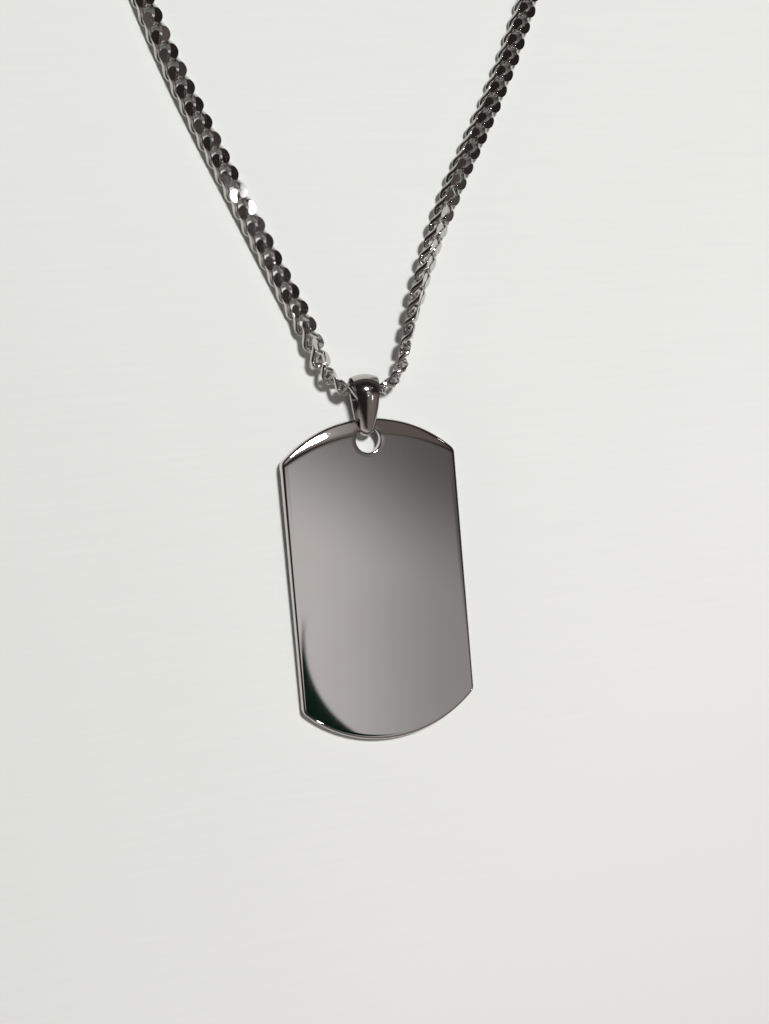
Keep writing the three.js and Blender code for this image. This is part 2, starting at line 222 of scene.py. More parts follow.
def swept_ring(centre_at, radius, steps, sides, spread=0.0):
    """Rings of points round a wire on a closed path, spread outwards at four places between its ends."""
    rings = []
    for i in range(steps):
        turn = math.tau * i / steps
        tangent = (centre_at(turn + SHORT_TURN) - centre_at(turn - SHORT_TURN)).normalized()
        outward = Vector((math.cos(turn), math.sin(turn), 0))
        outward = (outward - tangent * outward.dot(tangent)).normalized()
        upward = tangent.cross(outward)
        ring = []
        for k in range(sides):
            around = math.tau * k / sides
            reach = radius * math.cos(around)
            if reach > 0:
                reach *= 1 + spread * math.sin(2 * turn) ** 2
            ring.append(centre_at(turn) + outward * reach + upward * radius * math.sin(around))
        rings.append(ring)
    return rings


def link_centre(turn):
    half_length = (LINK_PITCH + 2 * WIRE_RADIUS + LINK_GAP) / 2
    half_span = LINK_WIDTH / 2 - WIRE_RADIUS
    return Vector((half_length * math.cos(turn), half_span * math.sin(turn), LINK_TWIST * math.sin(2 * turn)))


def grind_flats(bm, tilt):
    """Cuts a link flat above and below, a little off level."""
    way = Matrix.Rotation(math.radians(tilt), 3, "X") @ UP
    for side in (1, -1):
        cut = bmesh.ops.bisect_plane(
            bm,
            geom=bm.verts[:] + bm.edges[:] + bm.faces[:],
            plane_co=UP * side * LINK_THICKNESS / 2,
            plane_no=way * side,
            clear_outer=True,
        )
        rim = [e for e in cut["geom_cut"] if isinstance(e, bmesh.types.BMEdge)]
        bmesh.ops.holes_fill(bm, edges=rim)
        bmesh.ops.bevel(bm, geom=rim, offset=LINK_EDGE, segments=2, affect="EDGES", profile=0.5)


def curb_links(name, tilts, wire=WIRE_RADIUS, spread=LINK_SPREAD):
    """Twisted wire ovals in a row, each ground flat at its own tilt."""
    row = bmesh.new()
    for i, tilt in enumerate(tilts):
        bm = bmesh.new()
        add_tube(bm, swept_ring(link_centre, wire, *LINK_FACETS, spread))
        grind_flats(bm, tilt)
        bmesh.ops.translate(bm, verts=bm.verts, vec=ACROSS * i * LINK_PITCH)
        link = mesh_from_bmesh("curb_link", bm)
        row.from_mesh(link)
        bpy.data.meshes.remove(link)
    return mesh_from_bmesh(name, row)


def jump_ring(name, radius):
    def circle(turn):
        return radius * Vector((math.cos(turn), math.sin(turn), 0))

    bm = bmesh.new()
    add_tube(bm, swept_ring(circle, RING_WIRE_RADIUS, *RING_FACETS))
    return mesh_from_bmesh(name, bm)


def arc(centre, radius, start, end, step=ARC_STEP):
    """Points on an arc between two angles in degrees, either way round."""
    steps = max(1, round(abs(end - start) / step))
    angles = [math.radians(start + (end - start) * i / steps) for i in range(steps + 1)]
    return [centre + radius * Vector((math.cos(a), math.sin(a), 0)) for a in angles]


def edged(points):
    """Each point of a closed line with the way that moves both its sides out, for an anticlockwise line."""
    found = []
    for before, here, after in zip(points[-1:] + points[:-1], points, points[1:] + points[:1]):
        first = (here - before).normalized().cross(UP)
        second = (after - here).normalized().cross(UP)
        out = (first + second).normalized()
        found.append((here, out / max(out.dot(second), SHARPEST_MITRE)))
    return found


def round_edge(radius, roll_off=0, reach=0):
    """Insets and drops from a face: a quarter round, then a slight fall towards it that ends at the reach."""
    profile = []
    for i in range(EDGE_STEPS + 1):
        turn = math.radians(90 * i / EDGE_STEPS)
        profile.append((radius * (1 - math.cos(turn)), roll_off + radius * (1 - math.sin(turn))))
    if roll_off:
        for i in range(1, ROLL_OFF_STEPS + 1):
            share = i / ROLL_OFF_STEPS
            profile.append((radius + (reach - radius) * share, roll_off * (1 - share) ** 3))
    return profile


def add_plate(bm, walls, low, high, face_points=None):
    """A plate between two heights, from closed lines that each have a lower and an upper edge."""
    caps = ([], [])
    tops = []
    for points, lower, upper in walls:
        levels = [(inset, high - drop) for inset, drop in reversed(upper)]
        levels += [(inset, low + drop) for inset, drop in lower]
        line = edged(points)
        rings = [[bm.verts.new(p - inset * out + UP * height) for p, out in line] for inset, height in levels]
        for above, below in zip(rings, rings[1:]):
            for k in range(len(line)):
                bm.faces.new((above[k - 1], below[k - 1], below[k], above[k]))
        tops.append(rings[0])
        for cap, ring in zip(caps, (rings[0], rings[-1])):
            cap += [bm.edges.get((ring[k - 1], ring[k])) for k in range(len(ring))]
    for cap in caps:
        if cap is caps[0] and face_points:
            fill_face(bm, tops, face_points)
        else:
            bmesh.ops.triangle_fill(bm, edges=cap, use_beauty=True)
        for edge in cap:
            edge.smooth = False


def fill_face(bm, rings, points):
    """Triangles between an outer ring and the holes in it, through the given points."""
    rim = [vert for ring in rings for vert in ring]
    owner = [i for i, ring in enumerate(rings) for _ in ring]
    edges = []
    for i, ring in enumerate(rings):
        first = owner.index(i)
        edges += [(first + k, first + (k + 1) % len(ring)) for k in range(len(ring))]
    places = [vert.co.xy for vert in rim] + points
    corners, _, faces, origins, _, _ = delaunay_2d_cdt(places, edges, [], 0, SAME_PLACE)
    verts = []
    owners = []
    for corner, origin in zip(corners, origins):
        old = [k for k in origin if k < len(rim)]
        verts.append(rim[old[0]] if old else bm.verts.new((corner.x, corner.y, rim[0].co.z)))
        owners.append(owner[old[0]] if old else None)
    for face in faces:
        rings_met = {owners[k] for k in face}
        if rings_met == {0} or None in rings_met or len(rings_met) > 1:
            bm.faces.new([verts[k] for k in face])


def tag_outline_circle():
    """The middle and radius of the round end with the hole."""
    radius = ((TAG_WIDTH / 2) ** 2 + TAG_END_RISE**2) / (2 * TAG_END_RISE)
    return Vector((0, TAG_LENGTH / 2 - radius, 0)), radius


def tag_outline():
    """Straight sides, shallow round ends and small corner rounds, anticlockwise."""
    end_centre, end_radius = tag_outline_circle()
    inset = TAG_WIDTH / 2 - TAG_CORNER_RADIUS
    corner_y = end_centre.y + math.sqrt((end_radius - TAG_CORNER_RADIUS) ** 2 - inset**2)
    meet = math.degrees(math.atan2(corner_y - end_centre.y, inset))
    top = arc(Vector((inset, corner_y, 0)), TAG_CORNER_RADIUS, 0, meet)
    top += arc(end_centre, end_radius, meet, 180 - meet, TAG_END_STEP)[1:-1]
    top += arc(Vector((-inset, corner_y, 0)), TAG_CORNER_RADIUS, 180 - meet, 180)
    return top + [-point for point in top]


HOLE_CENTRE = Vector((0, TAG_LENGTH / 2 - HOLE_RIM - HOLE_RADIUS, 0))
POLISHED_END_CENTRE = Vector((0, TAG_LENGTH / 2 - POLISHED_END_DEPTH - POLISHED_END_RADIUS, 0))


def eased_fall(distance, start, slope):
    """The depth and slope of a fall that starts softly at 0 and then keeps its slope."""
    inside = max(distance, 0)
    soft = min(inside, start)
    return slope * (soft**2 / (2 * start) + inside - soft), slope * soft / start


def worn_face(place):
    """The depth that polishing wore off the face near its end and round its hole, and the face's way."""
    flat = Vector((place.x, place.y, 0))
    from_end = flat - POLISHED_END_CENTRE
    from_hole = flat - HOLE_CENTRE
    depth, slope = eased_fall(from_end.length - POLISHED_END_RADIUS, POLISHED_END_START, POLISHED_END_SLOPE)
    reach = HOLE_RADIUS + HOLE_FALL_REACH
    hole_depth, hole_slope = eased_fall(reach - from_hole.length, HOLE_FALL_REACH, HOLE_FALL_SLOPE)
    way = UP + from_end.normalized() * slope - from_hole.normalized() * hole_slope
    return depth + hole_depth, way.normalized()


def worn_points():
    """Points for the face's falls: rows along the worn end, and rings round the hole."""
    found = []
    end_circle = tag_outline_circle()
    for row in range(round(POLISHED_END_DEPTH / FACE_STEP)):
        radius = POLISHED_END_RADIUS + row * FACE_STEP
        found += arc(POLISHED_END_CENTRE, radius, *WORN_END_ANGLES, WORN_END_STEP)
    inset = TAG_ROLL_REACH + FACE_STEP / 2
    rim = HOLE_RADIUS + HOLE_FALL_REACH + FACE_STEP / 2
    kept = []
    for point in found:
        inside_end = (point - end_circle[0]).length < end_circle[1] - inset
        if inside_end and abs(point.x) < TAG_WIDTH / 2 - inset and (point - HOLE_CENTRE).length > rim:
            kept.append(point.xy)
    for ring in range(1, HOLE_FALL_RINGS + 1):
        radius = HOLE_RADIUS + HOLE_EDGE_ROUND + ring * (HOLE_FALL_REACH - HOLE_EDGE_ROUND) / HOLE_FALL_RINGS
        for point in arc(HOLE_CENTRE, radius, 360, 0, HOLE_STEP)[1:]:
            if (point - end_circle[0]).length < end_circle[1] - inset:
                kept.append(point.xy)
    return kept


def tag_mesh():
    hole = arc(HOLE_CENTRE, HOLE_RADIUS, 360, 0, HOLE_STEP)[1:]
    rim_edge = round_edge(TAG_EDGE_ROUND, TAG_ROLL_OFF, TAG_ROLL_REACH)
    hole_edge = round_edge(HOLE_EDGE_ROUND)
    bm = bmesh.new()
    walls = [(tag_outline(), rim_edge, rim_edge), (hole, hole_edge, hole_edge)]
    add_plate(bm, walls, 0, TAG_THICKNESS, worn_points())
    face = {vert for vert in bm.verts if vert.co.z > TAG_THICKNESS - SAME_LEVEL}
    on_face = [all(vert in face for vert in polygon.verts) for polygon in bm.faces]
    for vert in bm.verts:
        if vert.co.z > TAG_THICKNESS / 2:
            vert.co.z -= worn_face(vert.co)[0]
    mesh = mesh_from_bmesh("tag_plate_polished", bm)
    ways = [Vector((0, 0, 0))] * len(mesh.loops)
    for polygon in mesh.polygons:
        if on_face[polygon.index]:
            for k in polygon.loop_indices:
                ways[k] = worn_face(mesh.vertices[mesh.loops[k].vertex_index].co)[1]
    mesh.normals_split_custom_set(ways)
    return mesh


def bail_line(centres):
    """The strip's inside, over the crown and round the foot: turning centre, radius and angle."""
    foot = Vector((0, 0, 0))
    crown = Vector((0, centres, 0))
    narrowing = BAIL_FOOT_INNER - BAIL_CROWN_INNER
    lean = math.acos(narrowing / centres)
    from_foot = BAIL_BOW - BAIL_FOOT_INNER
    from_crown = BAIL_BOW - BAIL_CROWN_INNER
    along = (from_foot**2 - from_crown**2 + centres**2) / (2 * centres)
    bow = Vector((0, along, -math.sqrt(from_foot**2 - along**2)))
    start = math.atan2(-bow.z, centres - along)
    end = math.atan2(-bow.z, -along)
    turns = [i / BAIL_TURN_STEPS for i in range(BAIL_TURN_STEPS + 1)]
    front = [i / BAIL_FRONT_STEPS for i in range(1, BAIL_FRONT_STEPS)]
    back = [i / BAIL_BACK_STEPS for i in range(1, BAIL_BACK_STEPS)]
    line = [(crown, BAIL_CROWN_INNER, -lean + (start + lean) * share) for share in turns]
    line += [(bow, BAIL_BOW, start + (end - start) * share) for share in front]
    line += [(foot, BAIL_FOOT_INNER, end + (math.tau - lean - end) * share) for share in turns]
    line += [(crown * share, BAIL_FOOT_INNER - narrowing * share, -lean) for share in back]
    return line


def bail_mesh(centres):
    """A strip bent round a foot and a crown: bowed in front, crowned across and tapered to the foot."""
    bottom = BAIL_FOOT_INNER + BAIL_LEAF
    length = bottom + centres + BAIL_CROWN_INNER + BAIL_LEAF
    outside = [BAIL_EDGE_SHARE * (2 * i / BAIL_OUTSIDE_STEPS - 1) for i in range(BAIL_OUTSIDE_STEPS + 1)]
    inside = [BAIL_INSIDE_SHARE * (1 - 2 * i / BAIL_INSIDE_STEPS) for i in range(BAIL_INSIDE_STEPS + 1)]
    section = [(across, BAIL_LEAF - BAIL_CROWNING * across**2) for across in outside]
    section += [(across, 0) for across in inside]
    rings = []
    for centre, radius, angle in bail_line(centres):
        out = Vector((0, math.cos(angle), math.sin(angle)))
        ring = []
        for across, height in section:
            place = centre + (radius + height) * out
            width = BAIL_FOOT_WIDTH + (BAIL_TOP_WIDTH - BAIL_FOOT_WIDTH) * (place.y + bottom) / length
            ring.append(place + ACROSS * across * width / 2)
        rings.append(ring)
    bm = bmesh.new()
    add_tube(bm, rings)
    return mesh_from_bmesh("bail_polished", bm)


HOOK = Vector((HOOK_REACH, 0, 0))
HOOK_MIDDLE = (HOOK_OUTER + HOOK_INNER) / 2
PIN = arc(HOOK, HOOK_MIDDLE, PIN_ANGLE, PIN_ANGLE)[0]


def meeting(radius, reach):
    """The angle at which a circle about the hook's middle meets a circle of the given reach about the pin."""
    cosine = (radius**2 + HOOK_MIDDLE**2 - reach**2) / (2 * radius * HOOK_MIDDLE)
    return PIN_ANGLE - math.degrees(math.acos(cosine))


def about_pin(point):
    """The angle of a point seen from the pin."""
    return math.degrees(math.atan2(point.y - PIN.y, point.x - PIN.x))


def claw_outlines():
    """The claw from its side, anticlockwise: its closed wall, its slot's open rim and the slot's corners."""
    neck = EYE_OUTER + CLASP_PLAY
    nose = GATE_REACH + CLASP_PLAY
    outside = arc(HOOK, HOOK_OUTER, HOOK_NECK_ANGLE, 360 + meeting(HOOK_OUTER, nose))
    inside = arc(HOOK, HOOK_INNER, 360 + meeting(HOOK_INNER, nose), CHEEK_ANGLE)
    tip = arc(PIN, nose, about_pin(outside[-1]), about_pin(inside[0]))[1:-1]
    floor = PIN.y - HOOK_INNER
    slot_back = PIN.x - SLOT_BEHIND_PIN
    below_slot = [point for point in inside if point.y < floor or point.x > HOOK_REACH]
    wall = [Vector((neck, -EYE_HOLE, 0))] + outside + tip + below_slot
    rim = inside[len(below_slot) :] + arc(HOOK, HOOK_OUTER, CHEEK_ANGLE, PIN_ANGLE)
    rim += [Vector((neck, EYE_HOLE, 0))]
    corners = [Vector((slot_back, EYE_HOLE, 0)), Vector((slot_back, floor, 0))]
    return wall, rim, corners


def cut_slot(bm, half, first, corners):
    """Opens a plate's wall from one point of its line on, and closes the cut with cheeks and a floor."""
    reach = half + SAME_LEVEL
    walls = [face for face in bm.faces if all(abs(vert.co.z) < reach for vert in face.verts)]
    opened = walls[first:]
    upper = [opened[0].verts[0]] + [face.verts[3] for face in opened]
    lower = [opened[0].verts[1]] + [face.verts[2] for face in opened]
    bmesh.ops.delete(bm, geom=opened, context="FACES")
    upper += [bm.verts.new(corner + UP * half) for corner in corners]
    lower += [bm.verts.new(corner - UP * half) for corner in corners]
    for k in range(-len(corners), 1):
        bm.faces.new((upper[k - 1], lower[k - 1], lower[k], upper[k]))
    cheeks = [bm.faces.new(upper), bm.faces.new(lower)]
    bmesh.ops.triangulate(bm, faces=cheeks)


def claw_mesh():
    """A cast claw: an eye on a tongue, and a hook with two cheeks beside the lever's slot."""
    wall, rim, corners = claw_outlines()
    bm = bmesh.new()
    cheek = CLASP_SLOT / 2
    outer = CLASP_THICKNESS / 2
    side = [(0, outer - cheek)] + round_edge(CLASP_EDGE)
    add_plate(bm, [(wall + rim, side, side)], -outer, outer)
    cut_slot(bm, cheek, len(wall), corners)
    middle = Vector((0, 0, 0))
    edge = round_edge(EYE_EDGE)
    ring = arc(middle, EYE_OUTER, 0, 360)[1:]
    hole = arc(middle, EYE_HOLE, 360, 0)[1:]
    add_plate(bm, [(ring, edge, edge), (hole, edge, edge)], -EYE_THICKNESS / 2, EYE_THICKNESS / 2)
    tongue_end = EYE_OUTER + EYE_TONGUE
    tongue = [Vector((tongue_end, -EYE_HOLE, 0)), Vector((tongue_end, EYE_HOLE, 0))]
    tongue += arc(middle, (EYE_OUTER + EYE_HOLE) / 2, TONGUE_ANGLE, -TONGUE_ANGLE)
    add_plate(bm, [(tongue, edge, edge)], -TONGUE_HALF_THICKNESS, TONGUE_HALF_THICKNESS)
    return mesh_from_bmesh("clasp_claw", bm)


def lever_mesh():
    """The gate, the boss that turns on the pin and the thumb tab, in one line."""
    outer = HOOK_OUTER - CLASP_PLAY
    inner = HOOK_INNER + CLASP_PLAY
    gate = arc(HOOK, outer, meeting(outer, GATE_REACH), LEVER_TAB_ANGLES[0])
    tab = arc(HOOK, outer + LEVER_TAB, *LEVER_TAB_ANGLES)
    under = arc(HOOK, inner, meeting(inner, LEVER_BOSS), meeting(inner, GATE_REACH))
    tab_root = arc(HOOK, outer, LEVER_TAB_ANGLES[1], LEVER_TAB_ANGLES[1])[0]
    boss = arc(PIN, LEVER_BOSS, about_pin(tab_root), 360 + about_pin(under[0]))
    tip = arc(PIN, GATE_REACH, about_pin(under[-1]), about_pin(gate[0]))[1:-1]
    edge = round_edge(CLASP_PLAY)
    half = CLASP_SLOT / 2 - CLASP_PLAY
    bm = bmesh.new()
    add_plate(bm, [(gate + tab + boss + under[1:] + tip, edge, edge)], -half, half)
    return mesh_from_bmesh("clasp_gate", bm)


def pin_mesh():
    edge = round_edge(PIN_EDGE)
    line = arc(PIN, PIN_RADIUS, 0, 360, SMALL_ARC_STEP)[1:]
    half = CLASP_THICKNESS / 2
    bm = bmesh.new()
    add_plate(bm, [(line, edge, edge)], -half, half)
    return mesh_from_bmesh("clasp_rivet", bm)


def spring_mesh():
    """A leaf that lies on the slot's floor and bends up behind the lever's boss."""
    floor = PIN.y - HOOK_INNER + CLASP_PLAY
    back = PIN.x - SPRING_BEHIND_PIN
    bend = Vector((back + SPRING_LEAF + SPRING_BEND, floor + SPRING_LEAF + SPRING_BEND, 0))
    line = [Vector((PIN.x, floor, 0)), Vector((PIN.x, floor + SPRING_LEAF, 0))]
    line += arc(bend, SPRING_BEND, 270, 180, SMALL_ARC_STEP)
    line += [Vector((back + SPRING_LEAF, PIN.y, 0)), Vector((back, PIN.y, 0))]
    line += arc(bend, SPRING_BEND + SPRING_LEAF, 180, 270, SMALL_ARC_STEP)
    edge = round_edge(SPRING_EDGE)
    half = CLASP_SLOT / 2 - 2 * CLASP_PLAY
    bm = bmesh.new()
    add_plate(bm, [(line, edge, edge)], -half, half)
    return mesh_from_bmesh("clasp_leaf", bm)


# Finishes
HAIRLINE_TURNS = (12, -38)
HAIRLINE_STRETCH = (1, 0.03, 1)
HAIRLINE_CONTRAST = 6.0
HAIRLINE_STRENGTH = 0.3
STREAK_TURN = 24
STREAK_STRETCH = (1, 0.12, 1)


def group(name, inputs, outputs):
    """A shader node group with value inputs and the given outputs."""
    tree = bpy.data.node_groups.new(name, "ShaderNodeTree")
    for label, value in inputs.items():
        tree.interface.new_socket(label, in_out="INPUT", socket_type="NodeSocketFloat").default_value = value
    for label in outputs:
        tree.interface.new_socket(label, in_out="OUTPUT", socket_type="NodeSocketFloat")
    return tree, tree.nodes.new("NodeGroupInput"), tree.nodes.new("NodeGroupOutput")


def math_node(tree, operation, first, second=0.0, third=0.0):
    node = tree.nodes.new("ShaderNodeMath")
    node.operation = operation
    for socket, value in zip(node.inputs, (first, second, third)):
        if isinstance(value, (int, float)):
            socket.default_value = value
        else:
            tree.links.new(value, socket)
    return node.outputs[0]


def noise_node(tree, vector, scale, detail=2.0, roughness=0.5):
    node = tree.nodes.new("ShaderNodeTexNoise")
    node.inputs["Detail"].default_value = detail
    node.inputs["Roughness"].default_value = roughness
    if isinstance(scale, (int, float)):
        node.inputs["Scale"].default_value = scale
    else:
        tree.links.new(scale, node.inputs["Scale"])
    tree.links.new(vector, node.inputs["Vector"])
    return node.outputs["Fac"]


def stretched(tree, vector, turn, scale):
    node = tree.nodes.new("ShaderNodeMapping")
    node.inputs["Rotation"].default_value = (0, 0, math.radians(turn))
    node.inputs["Scale"].default_value = scale
    tree.links.new(vector, node.inputs["Vector"])
    return node.outputs["Vector"]


def step(tree, value, low, high, least=0.0):
    """A smooth step from the least value at one end to 1 at the other."""
    ramp = tree.nodes.new("ShaderNodeMapRange")
    ramp.interpolation_type = "SMOOTHSTEP"
    ramp.inputs["From Min"].default_value = low
    ramp.inputs["From Max"].default_value = high
    ramp.inputs["To Min"].default_value = least
    tree.links.new(value, ramp.inputs["Value"])
    return ramp.outputs["Result"]


def along(tree, direction, vector):
    """How far a direction goes along a vector."""
    dot = tree.nodes.new("ShaderNodeVectorMath")
    dot.operation = "DOT_PRODUCT"
    tree.links.new(direction, dot.inputs[0])
    dot.inputs[1].default_value = vector
    return dot.outputs["Value"]


def over(tree, below, colour, mask):
    """A colour laid over another where a mask is 1."""
    mix = tree.nodes.new("ShaderNodeMix")
    mix.data_type = "RGBA"
    if isinstance(below, tuple):
        mix.inputs["A"].default_value = (*below, 1)
    else:
        tree.links.new(below, mix.inputs["A"])
    mix.inputs["B"].default_value = (*colour, 1)
    tree.links.new(mask, mix.inputs["Factor"])
    return mix.outputs["Result"]


def hairline_group():
    """Sparse fine polishing lines in two directions, as a height."""
    tree, given, made = group("polishing_hairlines", {"Scale": 900.0, "Cover": 0.66}, ["Height", "Mask"])
    place = tree.nodes.new("ShaderNodeTexCoord").outputs["Object"]
    total = None
    for turn in HAIRLINE_TURNS:
        lines = noise_node(tree, stretched(tree, place, turn, HAIRLINE_STRETCH), given.outputs["Scale"], 1.0)
        raised = math_node(tree, "SUBTRACT", lines, given.outputs["Cover"])
        raised = math_node(tree, "MAXIMUM", raised, 0.0)
        total = raised if total is None else math_node(tree, "ADD", total, raised)
    mask = math_node(tree, "MINIMUM", math_node(tree, "MULTIPLY", total, HAIRLINE_CONTRAST), 1.0)
    tree.links.new(total, made.inputs["Height"])
    tree.links.new(mask, made.inputs["Mask"])
    return tree


def haze_group():
    """Soft patches left by wiping and handling, from 0 on clean metal to 1."""
    tree, given, made = group("handling_haze", {"Scale": 120.0, "Contrast": 2.2}, ["Haze"])
    place = tree.nodes.new("ShaderNodeTexCoord").outputs["Object"]
    patches = noise_node(tree, place, given.outputs["Scale"], 3.0, 0.6)
    centred = math_node(tree, "SUBTRACT", patches, 0.5)
    shaped = math_node(tree, "MULTIPLY_ADD", centred, given.outputs["Contrast"], 0.5)
    clipped = math_node(tree, "MINIMUM", math_node(tree, "MAXIMUM", shaped, 0.0), 1.0)
    tree.links.new(clipped, made.inputs["Haze"])
    return tree


def streaks_group():
    """Short streaks from polishing across the tag's end with the hole, as a height."""
    tree, given, made = group("polished_end_streaks", {"Scale": 3200.0}, ["Height"])
    place = tree.nodes.new("ShaderNodeTexCoord").outputs["Object"]
    drawn = stretched(tree, place, STREAK_TURN, STREAK_STRETCH)
    streaks = noise_node(tree, drawn, given.outputs["Scale"], 1.0)
    heights = tree.nodes.new("ShaderNodeSeparateXYZ")
    tree.links.new(place, heights.inputs["Vector"])
    start = TAG_LENGTH / 2 - TAG_END_RISE - POLISHED_END_DEPTH
    share = step(tree, heights.outputs["Y"], start, start + POLISHED_END_DEPTH)
    tree.links.new(math_node(tree, "MULTIPLY", streaks, share), made.inputs["Height"])
    return tree


hairlines = hairline_group()
haze = haze_group()
end_streaks = streaks_group()


def place_group(tree, source, values):
    node = tree.nodes.new("ShaderNodeGroup")
    node.node_tree = source
    for label, value in values.items():
        node.inputs[label].default_value = value
    return node.outputs


def bump_node(tree, height, distance, strength, below=None):
    node = tree.nodes.new("ShaderNodeBump")
    node.inputs["Distance"].default_value = distance
    node.inputs["Strength"].default_value = strength
    tree.links.new(height, node.inputs["Height"])
    if below:
        tree.links.new(below, node.inputs["Normal"])
    return node.outputs["Normal"]


def steel(name, clean, handled, smooth, dulled, line_scale, line_depth, haze_scale, streaks=None):
    """Polished steel between two colours, with haze in its roughness and hairlines in its bump."""
    material = bpy.data.materials.new(name)
    material.use_nodes = True
    tree = material.node_tree
    shader = tree.nodes["Principled BSDF"]
    shader.inputs["Metallic"].default_value = 1.0
    patches = place_group(tree, haze, {"Scale": haze_scale})["Haze"]
    lines = place_group(tree, hairlines, {"Scale": line_scale})
    tree.links.new(over(tree, clean, handled, patches), shader.inputs["Base Color"])
    rough = math_node(tree, "MULTIPLY_ADD", patches, dulled - smooth, smooth)
    rough = math_node(tree, "MULTIPLY_ADD", lines["Mask"], dulled - smooth, rough)
    tree.links.new(rough, shader.inputs["Roughness"])
    below = None
    if streaks:
        below = bump_node(tree, place_group(tree, streaks, {})["Height"], POLISHING_MARKS, 1.0)
    normal = bump_node(tree, lines["Height"], line_depth, HAIRLINE_STRENGTH, below)
    tree.links.new(normal, shader.inputs["Normal"])
    return material


TAG_STEEL = steel(
    "mirror_tag_steel",
    clean=(0.62, 0.605, 0.595),
    handled=(0.60, 0.582, 0.57),
    smooth=0.015,
    dulled=0.028,
    line_scale=6000,
    line_depth=0.0003 * MM,
    haze_scale=70,
    streaks=end_streaks,
)
BAIL_STEEL = steel(
    "bail_steel",
    clean=(0.58, 0.545, 0.53),
    handled=(0.52, 0.49, 0.475),
    smooth=0.08,
    dulled=0.15,
    line_scale=5000,
    line_depth=0.001 * MM,
    haze_scale=400,
)
CHAIN_STEEL = steel(
    "ground_chain_steel",
    clean=(0.66, 0.65, 0.64),
    handled=(0.60, 0.59, 0.58),
    smooth=0.04,
    dulled=0.09,
    line_scale=6000,
    line_depth=0.001 * MM,
    haze_scale=600,
)
SPRING_STEEL = steel(
    "spring_leaf_steel",
    clean=(0.42, 0.42, 0.42),
    handled=(0.34, 0.34, 0.35),
    smooth=0.22,
    dulled=0.36,
    line_scale=6000,
    line_depth=0.001 * MM,
    haze_scale=600,
)


# Pieces


def dress(name, mesh, place, node, material):
    """Puts a finished mesh where a solid is, riding on the body that carries the solid."""
    own = mesh.copy()
    own.transform(place)
    own.materials.append(material)
    piece = bpy.data.objects.new(name, own)
    bpy.context.scene.collection.objects.link(piece)
    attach(piece, bodies[node])
    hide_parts(node)


def dress_tag():
    back = mounts["tag_back"]
    normal = -Vector(back["axis"]).normalized()
    place = placed(ACROSS, normal.cross(ACROSS), normal, Vector(back["pos_m"]))
    dress("tag", tag_mesh(), place, "tag_plate", TAG_STEEL)
    return place


def dress_bail():
    web = pivot("bail_swing")
    crown = pivot("centre_link_rock")
    reach = Vector((0, crown.y - web.y, crown.z - web.z))
    along = reach.normalized()
    place = placed(ACROSS, along, ACROSS.cross(along), web)
    dress("tapered_bail", bail_mesh(reach.length), place, "bail", BAIL_STEEL)


def chain_place(name, following):
    """A link's frame: +X along the chain, +Y across the flat, from its own joint and the next one."""
    x = (pivot(following) - pivot(name)).normalized()
    if name.endswith("_fold"):
        z = x.cross(axis(name)).normalized()
    else:
        z = axis(name)
    return placed(x, z.cross(x), z, pivot(name) + x * LINK_PITCH / 2)


def dress_chain():
    """Slim links in the bail and next to it, where the chain turns most, then wider ones."""
    tilts = FLAT_TILTS * 2
    slim = curb_links("slim_curb_link", [0], wire=SLIM_WIRE_RADIUS, spread=0)
    singles = [curb_links("curb_link", [tilt]) for tilt in FLAT_TILTS]
    runs = [curb_links("curb_link_run", tilts[i : i + LINKS_IN_RUN]) for i in range(len(FLAT_TILTS))]
    x = (pivot("right_link_01_fold") - pivot("left_link_01_fold")).normalized()
    middle = placed(x, UP, x.cross(UP), pivot("centre_link_rock"))
    dress("bail_link", slim, middle, "centre_link", CHAIN_STEEL)
    ends = {}
    for side, last in (("left", "clasp_ring_fold"), ("right", "end_ring_fold")):
        strand = [name for name in joints if name.startswith(side)] + [last]
        for i, (name, following) in enumerate(zip(strand, strand[1:])):
            node = joints[name]["child"]
            ends[side] = chain_place(name, following)
            meshes = runs if "_run_" in name else singles
            mesh = slim if i < LINKS_AT_BAIL else meshes[i % len(meshes)]
            dress(node + "_polished", mesh, ends[side], node, CHAIN_STEEL)
    return ends


def dress_end_ring(name, run_place, radius):
    far_end = (LINKS_IN_RUN - 1) * LINK_PITCH + (LINK_PITCH + 2 * WIRE_RADIUS + LINK_GAP) / 2
    start = far_end - WIRE_RADIUS - LINK_GAP - RING_WIRE_RADIUS
    place = run_place @ Matrix.Translation((start + radius, 0, 0)) @ Matrix.Rotation(-math.pi / 4, 4, "X")
    dress(name + "_polished", jump_ring(name + "_wire", radius), place, name, CHAIN_STEEL)


def dress_clasp(run_place):
    """The clasp lies in line with the run that carries it, on the side that its pin is on."""
    pin = pivot("clasp_lever_open")
    x = run_place.col[0].xyz
    z = axis("clasp_lever_open")
    if z.cross(x).dot(pin - run_place.translation) < 0:
        z = -z
    y = z.cross(x)
    place = placed(x, y, z, pin - x * PIN.x - y * PIN.y)
    dress("clasp_claw", claw_mesh(), place, "clasp_body", CHAIN_STEEL)
    dress("clasp_gate", lever_mesh(), place, "clasp_lever", CHAIN_STEEL)
    dress("clasp_rivet", pin_mesh(), place, "clasp_pin", BAIL_STEEL)
    dress("clasp_leaf", spring_mesh(), place, "clasp_spring", SPRING_STEEL)


tag_place = dress_tag()
dress_bail()
strand_ends = dress_chain()
dress_end_ring("clasp_ring", strand_ends["left"], RING_RADIUS)
dress_end_ring("end_ring", strand_ends["right"], END_RING_RADIUS)
dress_clasp(strand_ends["left"])


